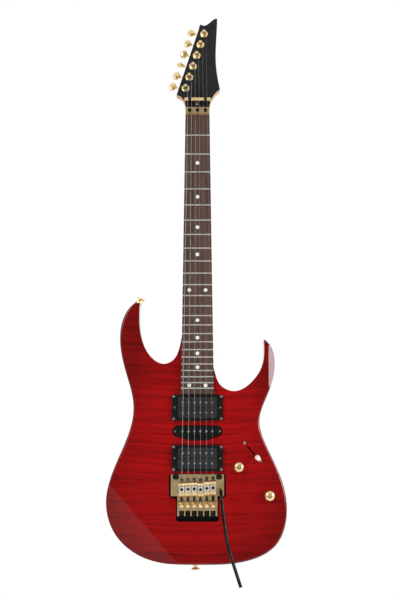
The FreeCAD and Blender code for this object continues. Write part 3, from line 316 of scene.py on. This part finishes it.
def wound_string():
    """Steel string with the close turns of its winding."""
    made, tree, shader = material("string_steel")
    place = object_place(tree)
    turns = add(tree, "TexWave", {"Vector": place, "Scale": 900.0}, bands_direction="Z").outputs[0]
    tone = grey_ramp(tree, noise(tree, place, 300, 3), [(0.3, 0.20), (0.7, 0.30)])
    tree.links.new(tone, shader.inputs["Base Color"])
    shader.inputs["Metallic"].default_value = 1.0
    shader.inputs["Roughness"].default_value = 0.4
    tree.links.new(bump(tree, turns, 0.3, 0.0001), shader.inputs["Normal"])
    return made


FINISHES = {
    "red": flamed_red(),
    "maple": neck_maple(),
    "lacquer": black_lacquer(),
    "rosewood": rosewood(),
    "nickel": metal("nickel", (0.50, 0.49, 0.46), (0.68, 0.66, 0.62), 0.14, 0.34),
    "pearl": pearl(),
    "steel": metal("steel", (0.40, 0.41, 0.42), (0.60, 0.60, 0.61), 0.18, 0.40),
    "black_plastic": plastic("black_plastic", (0.004, 0.005, 0.004), (0.009, 0.010, 0.009), 0.26, 0.42,
                             shine=0.14),
    "bobbin": plastic("bobbin_plastic", (0.010, 0.010, 0.011), (0.020, 0.020, 0.021), 0.20, 0.38),
    "gold": metal("gold", (0.76, 0.55, 0.27), (0.92, 0.70, 0.38), 0.18, 0.32),
    "black_steel": metal("black_steel", (0.02, 0.02, 0.022), (0.05, 0.05, 0.052), 0.22, 0.42),
    "string_steel": wound_string(),
    "black_chrome": metal("black_chrome", (0.014, 0.014, 0.014), (0.030, 0.030, 0.029), 0.20, 0.36),
    "satin_nickel": metal("satin_nickel", (0.78, 0.75, 0.68), (0.96, 0.93, 0.86), 0.30, 0.46),
    "cream_plastic": plastic("cream_plastic", (0.84, 0.80, 0.72), (0.93, 0.90, 0.84), 0.25, 0.38),
}
NODE_FINISH = {
    "red": ("body_core", "maple_top"),
    "maple": ("neck",),
    "lacquer": ("headstock_face",),
    "rosewood": ("fretboard",),
    "nickel": ("frets",),
    "pearl": ("position_dots",),
    "steel": ("truss_rod", "pickup_poles", "mounting_screws", "output_jack", "control_pots",
              "switch_lever", "sustain_block", "spring_claw"),
    "black_plastic": ("truss_rod_cover", "middle_pickup", "pickup_rings", "back_covers", "switch_body"),
    "bobbin": ("neck_pickup", "bridge_pickup"),
    "gold": ("nut_base", "nut_clamps", "strap_buttons", "tuner_housings", "tuner_bushings",
             "tremolo_plate", "saddles", "arm_socket", "volume_knob", "tone_knob"),
    "black_steel": ("nut_bolts", "bridge_studs", "saddle_screws"),
    "cream_plastic": ("switch_tip",),
    "black_chrome": ("tremolo_arm",),
    "string_steel": ("strings", "tremolo_springs"),
}


def dress(node, *finishes):
    """Gives a CAD node its finish in place of the frame's plain one."""
    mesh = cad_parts[node].data
    mesh.materials.clear()
    for finish in finishes:
        mesh.materials.append(FINISHES[finish])


for finish, names in NODE_FINISH.items():
    for name in names:
        dress(name, finish)
for number in range(1, 7):
    for stem in ("tuner_button", "tuner_post", "fine_tuner"):
        dress(f"{stem}_{number}", "gold")


def darken(node, inside):
    """Paints black the faces of a node whose middles, in millimetres, are inside the given space."""
    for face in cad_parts[node].data.polygons:
        if inside(face.center / MM):
            face.material_index = 1


def in_bridge_recess(place):
    """Inside the hollow under the bridge and in front of the springs, whose faces are drawn black."""
    half_width, front, back = 49.6, 7.7, 49
    top, bottom = -632.8, -715.4
    return abs(place.x) < half_width and front < place.y < back and bottom < place.z < top


def in_clamp_hole_shade(place):
    """Inside the socket of one of the saddles' string clamps, where the faces are painted black as
    painted shade.
    """
    line, radius = -656.6, 2.7
    return any(math.hypot(place.x - string_place(index, BRIDGE_PITCH), place.z - line + back) < radius
               for index, back in enumerate(SADDLE_SETBACK))


def on_retainer_screw(place):
    """Above the string retainer's bar, where only its two screw heads are."""
    above_bar = 9.35
    return (HEAD.inverted() @ place).z > above_bar


for name in ("maple_top", "body_core"):
    dress(name, "red", "black_plastic")
    darken(name, in_bridge_recess)
# The faces inside the clamp holes take black steel as painted shade.
dress("string_clamp_blocks", "satin_nickel", "black_steel")
darken("string_clamp_blocks", in_clamp_hole_shade)
dress("string_retainer", "gold", "black_steel")
darken("string_retainer", on_retainer_screw)

# ---- Modelled pieces ---------------------------------------------------------------------------


def new_piece(name, grid, finish, body, *stands_for):
    """Makes a piece from a bmesh, with its finish, its body and the CAD nodes it replaces.

    The finish gives the piece its material. A piece given no body is left unattached.
    """
    mesh = bpy.data.meshes.new(name)
    bmesh.ops.recalc_face_normals(grid, faces=grid.faces)
    for face in grid.faces:
        face.smooth = True
    sharp_from = math.radians(40)
    for edge in grid.edges:
        if len(edge.link_faces) == 2 and edge.calc_face_angle() > sharp_from:
            edge.smooth = False
    grid.to_mesh(mesh)
    grid.free()
    mesh.materials.append(FINISHES[finish])
    piece = bpy.data.objects.new(name, mesh)
    bpy.context.scene.collection.objects.link(piece)
    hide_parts(*stands_for)
    if body:
        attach(piece, body)
    return piece


def ring_of(grid, points):
    """Adds one ring of vertices."""
    return [grid.verts.new(point) for point in points]


def skin(grid, rings):
    """Joins rings of points with quads and closes both ends."""
    for low, high in zip(rings, rings[1:]):
        for index in range(len(low)):
            after = (index + 1) % len(low)
            grid.faces.new((low[index], low[after], high[after], high[index]))
    grid.faces.new(rings[0][::-1])
    grid.faces.new(rings[-1])


def lathe(grid, profile, frame_of, sides, flutes=(), depth=0.0):
    """Turns a (radius, height) profile about Z, with knurls of this depth at the levels in flutes."""
    rings = []
    for level, (radius, height) in enumerate(profile):
        points = []
        for side in range(sides):
            angle = 2 * math.pi * side / sides
            reach = radius - (depth if level in flutes and side % 2 else 0.0)
            place = mm(reach * math.cos(angle), reach * math.sin(angle), height)
            points.append(frame_of @ place)
        rings.append(ring_of(grid, points))
    skin(grid, rings)


def tube(grid, points, radius, sides=10):
    """Sweeps a round wire through points given in millimetres."""
    places = [Vector(point) for point in points]
    along = [(places[min(index + 1, len(places) - 1)] - places[max(index - 1, 0)]).normalized()
             for index in range(len(places))]
    across = along[0].orthogonal().normalized()
    rings = []
    for place, heading in zip(places, along):
        across = (across - heading * across.dot(heading)).normalized()
        other = heading.cross(across)
        points = []
        for side in range(sides):
            angle = 2 * math.pi * side / sides
            points.append((place + (across * math.cos(angle) + other * math.sin(angle)) * radius) * MM)
        rings.append(ring_of(grid, points))
    skin(grid, rings)


def facing(origin, out, along):
    """A frame at origin (mm) whose Z is out and whose X is along."""
    out = Vector(out).normalized()
    along = (Vector(along) - out * Vector(along).dot(out)).normalized()
    turn = Matrix((along, out.cross(along), out)).transposed().to_4x4()
    return Matrix.Translation(Vector(origin) * MM) @ turn


# On the headstock's face, in its own frame: the posts from the thinnest string's down.
POST_STEP = (6.7, 22.84)
POST_ROW = Vector((*POST_STEP, 0)).normalized()
SHAFT_OUT = Vector((-POST_ROW.y, POST_ROW.x, 0))
POSTS = [Vector((11.9 - POST_STEP[0] * index, 153.6 - POST_STEP[1] * index, 0)) for index in range(6)]
POST_RADIUS = 3.0
WINDING_LEVEL = 7.5
BUTTON_TURNS = (10, 0, -20, 80, 5, 0)


def string_route(index):
    """A string from its clamp over saddle and nut, under the bar, and three times round its post."""
    radius = STRING_RADII[index]
    at_nut = string_place(index, NUT_PITCH)
    at_bridge = string_place(index, BRIDGE_PITCH)
    back = SADDLE_SETBACK[index]
    crown = -3.94 - radius
    post = POSTS[5 - index]
    coil = POST_RADIUS + radius + 0.03
    route = [
        Vector((at_bridge, crown + 0.6, -651.1 - back)), Vector((at_bridge, crown + 0.08, -648 - back)),
        Vector((at_bridge, crown, -646 - back)), Vector((at_bridge * 0.995, crown + 0.02, -642)),
    ]
    start = Vector((at_bridge, crown, -646 - back))
    end = Vector((at_nut, -1.0 - radius, 0))
    route += [start.lerp(end, share) for share in (0.02, 0.03, 0.045, 0.06, 0.3, 0.6, 0.9, 1.0)]
    route += [Vector((at_nut, -1.0 - radius, 13.8)), Vector((at_nut, -0.9 - radius, 14.9))]
    arrive = Vector((post.x + coil, post.y, WINDING_LEVEL))
    bar = Vector((at_nut + (arrive.x - at_nut) * 0.2, 12.6, 6.0 - radius))
    for point in (bar + Vector((0, -1.6, 0.15)), bar + Vector((0, 1.6, 0)), arrive + Vector((0, -4, 0))):
        route.append(HEAD @ point)
    pitch = 2 * radius + 0.04
    turns, steps = 3, 20
    for step in range(turns * steps + 1):
        angle = 2 * math.pi * step / steps
        level = WINDING_LEVEL - pitch * step / steps
        route.append(HEAD @ (post + Vector((coil * math.cos(angle), coil * math.sin(angle), level))))
    return route


def build_strings():
    """The strings as one wire set from the bridge clamps round the tuner posts, with no body of its own.
    """
    grid = bmesh.new()
    for index, radius in enumerate(STRING_RADII):
        tube(grid, string_route(index), radius)
    piece = new_piece("string_set", grid, "string_steel", None, "strings")
    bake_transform(piece)


def build_springs():
    """Three springs from the claw to the block, each with a straight end at the front of its coil."""
    turns, steps = 26, 16
    coil, deep, wire = 3.75, 40, 0.65
    top, long = -572, 65
    front = deep - coil
    grid = bmesh.new()
    for across in (-22, 0, 22):
        route = [Vector((across, front, -566.1)), Vector((across, front, -571))]
        for step in range(turns * steps + 1):
            angle = 2 * math.pi * step / steps - math.pi / 2
            level = top - long * step / (turns * steps)
            route.append(Vector((across + coil * math.cos(angle), deep + coil * math.sin(angle), level)))
        route += [Vector((across, front, -638)), Vector((across, front, -645.9))]
        tube(grid, route, wire, 8)
    piece = new_piece("spring_set", grid, "string_steel", None, "tremolo_springs")
    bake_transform(piece)


def build_fine_tuners():
    """Knurled knobs that lean back over the tail of the bridge."""
    tilt = math.radians(35)
    out = (0, -math.cos(tilt), -math.sin(tilt))
    profile = [(0.3, -5.2), (1.5, -5.2), (1.5, 0.35), (2.9, 0.4), (3.3, 0.9), (3.3, 6.9), (3.0, 7.5),
               (2.2, 7.75), (1.3, 7.5), (0.3, 7.4)]
    for number in range(1, 7):
        grid = bmesh.new()
        seat = (string_place(number - 1, BRIDGE_PITCH), -4.3, -683.3)
        lathe(grid, profile, facing(seat, out, (1, 0, 0)), sides=36, flutes=(4, 5), depth=0.28)
        new_piece(f"fine_knob_{number}", grid, "gold", f"fine_{number}", f"fine_tuner_{number}")


def build_knobs():
    """Domed knobs with a knurled skirt and a shallow dished crown."""
    profile = [(0.3, -8), (2.9, -8), (2.9, 2.2), (7.2, 2.2), (7.2, 0.1), (9.3, 0.1), (9.7, 0.5),
               (9.7, 1.6), (9.2, 2.2), (9.1, 2.8), (9.1, 9.2), (9.0, 9.7), (8.6, 11.2), (7.6, 12.6),
               (6.2, 13.7), (4.8, 14.4), (4.2, 14.55), (3.7, 14.5), (2.0, 14.35), (0.3, 14.3)]
    for name, across, up in (("volume", 71.6, -621.7), ("tone", 124.3, -670.7)):
        grid = bmesh.new()
        frame_of = facing((across, 7.0, up), (0, -1, 0), (1, 0, 0))
        lathe(grid, profile, frame_of, sides=88, flutes=(9, 10), depth=0.3)
        new_piece(f"{name}_dome", grid, "gold", name, f"{name}_knob")


def build_buttons():
    """Oval tuner buttons on slim necks, each at rest at its own turn about its shaft."""
    neck = [(0.3, -8.5), (2.0, -8.5), (2.0, 13.9), (2.5, 14.2), (2.6, 15.6), (2.1, 16.4), (2.0, 18.0),
            (2.5, 19.8), (3.3, 21.4), (3.4, 24.0), (0.3, 26.0)]
    wide, thin, long, middle = 8.0, 3.8, 6.3, 26.8
    levels, sides = 16, 40
    heading = HEAD.to_3x3()
    across = Vector((0, 0, 1)).cross(SHAFT_OUT)
    for number, (post, turn) in enumerate(zip(POSTS, BUTTON_TURNS), start=1):
        shaft = post + POST_ROW * 7.1 - Vector((0, 0, 18))
        turned = Matrix.Rotation(math.radians(turn), 3, SHAFT_OUT) @ across
        frame_of = facing(HEAD @ shaft, heading @ SHAFT_OUT, heading @ turned)
        grid = bmesh.new()
        lathe(grid, neck, frame_of, sides=24)
        rings = []
        for level in range(1, levels):
            angle = math.pi * level / levels
            points = []
            for side in range(sides):
                around = 2 * math.pi * side / sides
                flat = math.copysign(abs(math.sin(around)) ** 0.8, math.sin(around))
                points.append(frame_of @ mm(wide * math.sin(angle) ** 0.85 * math.cos(around),
                                            thin * math.sin(angle) ** 0.7 * flat,
                                            middle - long * math.cos(angle)))
            rings.append(ring_of(grid, points))
        skin(grid, rings)
        new_piece(f"button_oval_{number}", grid, "gold", f"button_{number}", f"tuner_button_{number}")


def build_selector_tip():
    """The selector's drop-shaped tip, closed over the end of its blade."""
    pivot = (95.1, 32.5, -595.7)
    along = Vector((0.662, 0, -0.7495))
    lean = math.radians(20)
    out = along * math.sin(lean) - Vector((0, math.cos(lean), 0))
    profile = [(0.3, 35.5), (3.6, 35.5), (4.4, 36.2), (4.5, 37.6), (4.2, 40.0), (3.9, 43.0), (3.4, 45.4),
               (2.6, 46.8), (1.5, 47.4), (0.3, 47.5)]
    grid = bmesh.new()
    lathe(grid, profile, facing(pivot, out, along), sides=32)
    new_piece("selector_drop", grid, "cream_plastic", "selector", "switch_tip")


build_strings()
build_springs()
build_fine_tuners()
build_knobs()
build_buttons()
build_selector_tip()

# ---- Stage, lights and camera ----------------------------------------------------------------------


def build_stage():
    """A wide pale floor some way under the guitar."""
    drop = 0.43
    low = CAD_BOX[0].z - drop
    mesh = bpy.data.meshes.new("floor")
    grid = bmesh.new()
    bmesh.ops.create_circle(grid, cap_ends=True, segments=96, radius=2.4,
                            matrix=Matrix.Translation((0, 0, low)))
    grid.to_mesh(mesh)
    grid.free()
    floor = bpy.data.objects.new("floor", mesh)
    bpy.context.scene.collection.objects.link(floor)
    made, tree, shader = material("pale_floor")
    drift = noise(tree, object_place(tree), 3, 2)
    tree.links.new(grey_ramp(tree, drift, [(0.3, 0.84), (0.7, 0.87)]), shader.inputs["Base Color"])
    shader.inputs["Roughness"].default_value = 0.9
    mesh.materials.append(made)


def build_light():
    """A room that the camera sees as white but whose light fades in front, and two soft boxes."""
    world = bpy.data.worlds.new("studio")
    bpy.context.scene.world = world
    world.use_nodes = True
    tree = world.node_tree
    heading = add(tree, "SeparateXYZ", {0: add(tree, "TexCoord").outputs["Generated"]})
    beyond = unit_range(tree, heading.outputs[1])
    lifted = math_node(tree, "MULTIPLY_ADD", heading.outputs[2], 0.7, beyond)
    level = grey_ramp(tree, lifted, [(0.2, 0.30), (0.5, 0.58), (0.8, 1.0)])
    seen = add(tree, "LightPath").outputs["Is Camera Ray"]
    room = blend_colours(tree, "MIX", seen, level, (1.0, 1.0, 1.0))
    tree.links.new(room, tree.nodes["Background"].inputs["Color"])
    middle = Vector((0, 0, -0.45))
    for name, place, width, height, power in (
            ("left_box", (-1.5, -1.9, 0.45), 0.8, 1.3, 26),
            ("right_box", (2.0, -1.15, -0.25), 0.7, 1.6, 30)):
        lamp = bpy.data.lights.new(name, "AREA")
        lamp.shape = "RECTANGLE"
        lamp.size, lamp.size_y, lamp.energy = width, height, power
        box = bpy.data.objects.new(name, lamp)
        box.location = place
        aim = middle - Vector(place)
        box.rotation_euler = aim.to_track_quat("-Z", "Z").to_euler()
        bpy.context.scene.collection.objects.link(box)


def build_camera():
    """A long lens a little below the middle of the guitar, looking slightly up."""
    data = bpy.data.cameras.new("camera")
    data.sensor_width = 36
    data.lens = 67.26
    look_up = 6.267
    camera = bpy.data.objects.new("camera", data)
    camera.location = (0.0045, -1.95205, -0.54617)
    camera.rotation_euler = (math.radians(90 + look_up), 0, 0)
    bpy.context.scene.collection.objects.link(camera)
    bpy.context.scene.camera = camera


build_stage()
build_light()
build_camera()
bpy.context.scene.view_settings.view_transform = "Standard"
